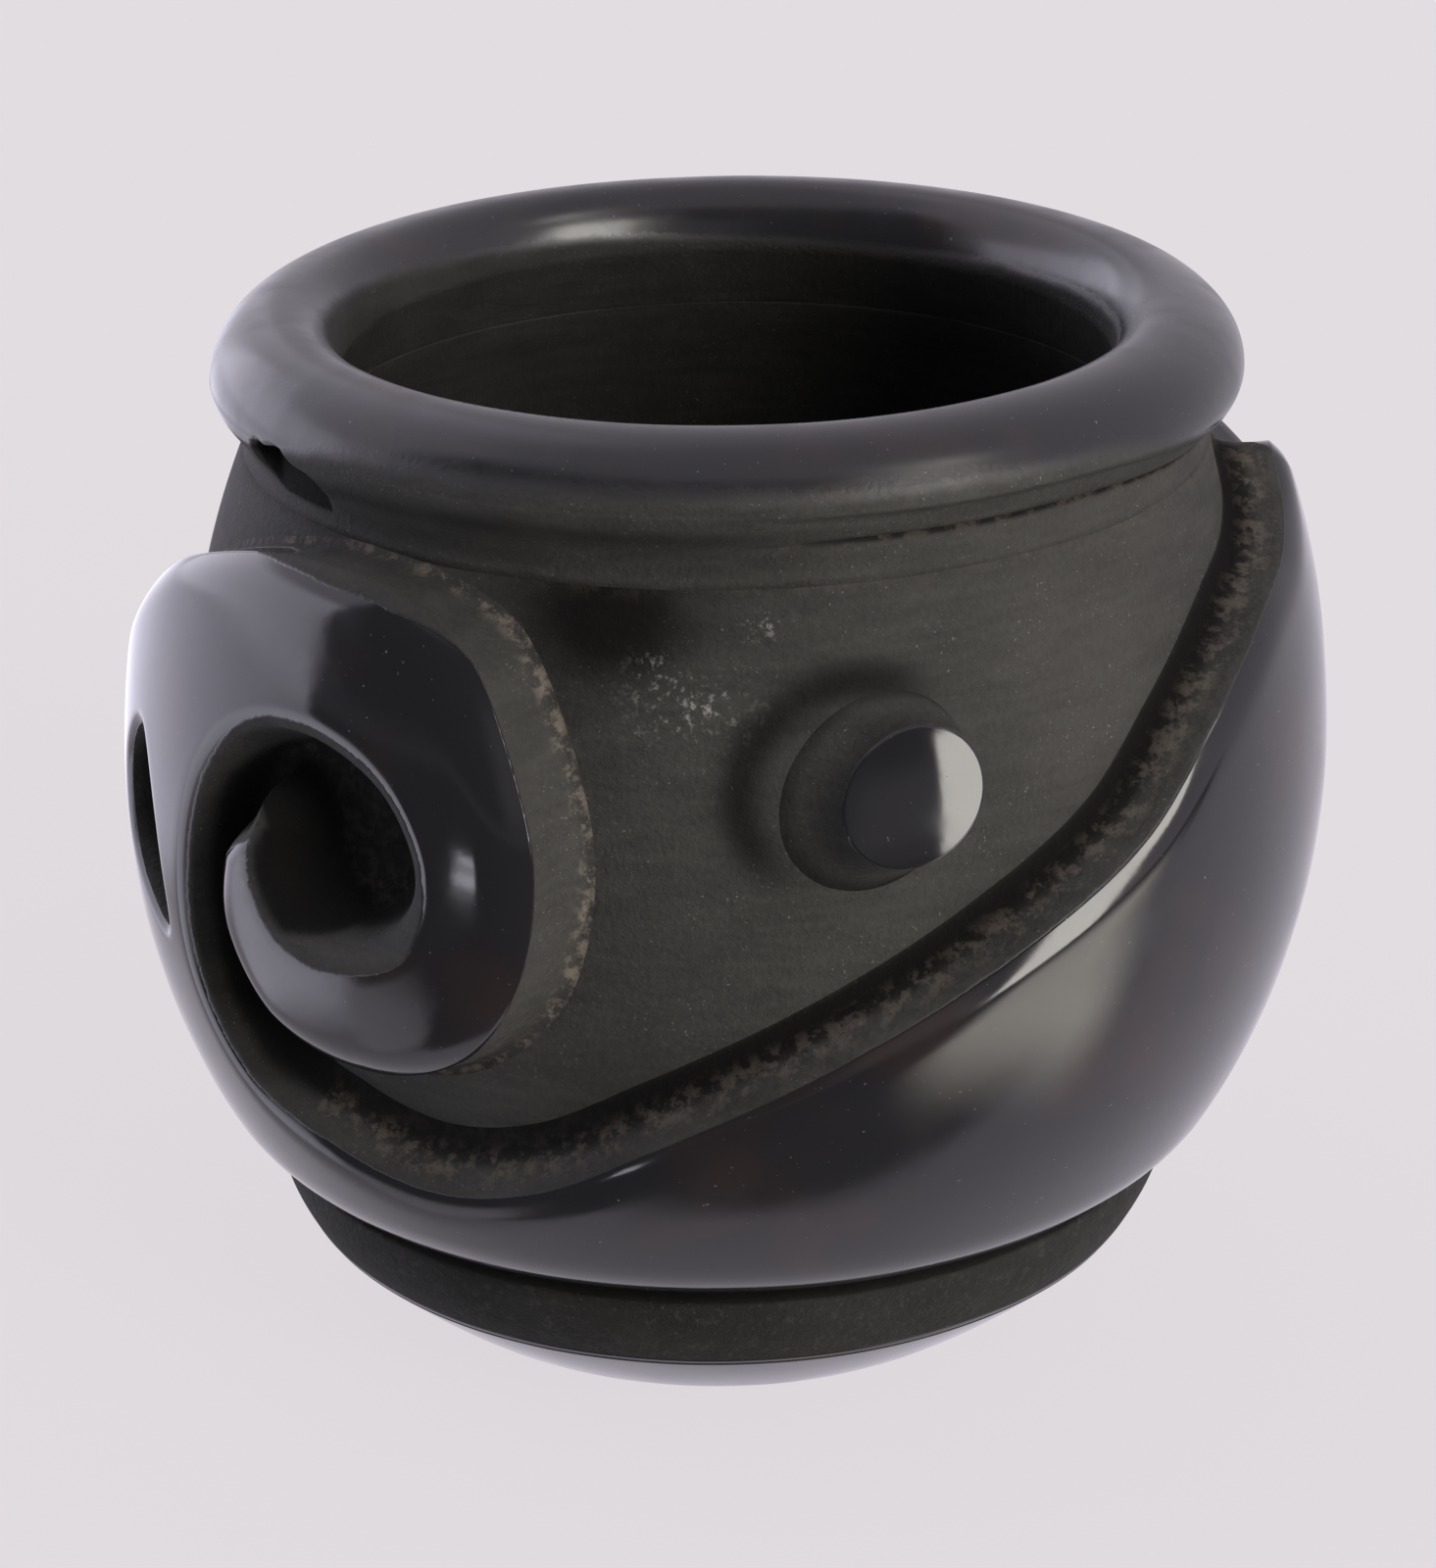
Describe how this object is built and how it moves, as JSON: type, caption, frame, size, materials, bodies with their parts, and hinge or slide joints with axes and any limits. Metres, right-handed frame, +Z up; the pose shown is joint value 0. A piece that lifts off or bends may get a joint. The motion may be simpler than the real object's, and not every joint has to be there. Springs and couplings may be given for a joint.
{
  "type": "carved blackware bowl",
  "caption": "Small round black clay bowl with a rolled rim, a burnished belt of carved scroll waves and raised bosses on a matt ground, and a flat base.",
  "frame": {"origin": "centre of the flat base, on the surface that the bowl stands on", "axes": "+Z up through the mouth, -Y towards the front wave and boss, +X to the right as seen from the front"},
  "size_m": [0.084, 0.0822, 0.0715],
  "materials": {
    "burnished_clay": "stone-burnished near-black clay with a soft mirror shine",
    "matt_clay": "unpolished dark grey-black clay with a fine dusty grain"
  },
  "bodies": {
    "root": {"base_pat": "burnished_clay", "foot_course": "matt_clay", "belly_course": "matt_clay", "shoulder_course": "matt_clay", "rim_coil": "burnished_clay", "front_wave_relief": "burnished_clay", "back_wave_relief": "burnished_clay", "front_boss": "burnished_clay", "back_boss": "burnished_clay"}
  },
  "joints": []
}
